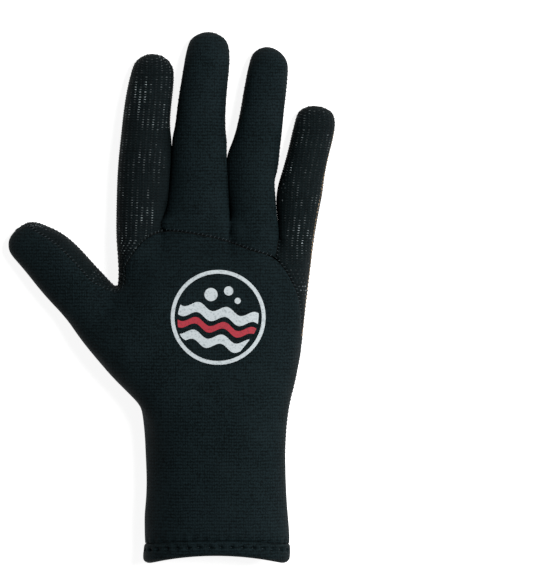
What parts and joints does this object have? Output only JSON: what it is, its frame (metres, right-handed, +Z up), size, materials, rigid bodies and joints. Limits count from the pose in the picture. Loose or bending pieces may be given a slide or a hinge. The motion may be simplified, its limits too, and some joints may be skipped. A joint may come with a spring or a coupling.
{
  "type": "diving glove",
  "caption": "Right-hand neoprene diving glove with a full cuff, smooth knitted back, dotted grip fabric on palm, index and little finger, and a folded hem.",
  "frame": {"origin": "on the surface the glove lies on, under the middle of its outline", "axes": "+X towards the little finger's side, +Y from the cuff to the fingertips, +Z up, out of the back of the hand"},
  "size_m": [0.1498, 0.2438, 0.0367],
  "materials": {
    "grip_fabric": "matt black stretch jersey on foam rubber, the ground of the grip dots",
    "knit_fabric": "matt black nylon jersey on foam rubber",
    "grip_dots": "semi-gloss printed dots",
    "thread": "black sewing thread",
    "print_white": "screen-printed white ink",
    "print_red": "screen-printed red ink"
  },
  "bodies": {
    "root": {"palm_panel": "grip_fabric", "back_panel": "knit_fabric", "finger_back_panel": "knit_fabric", "cuff_hem": "knit_fabric"}
  },
  "joints": []
}
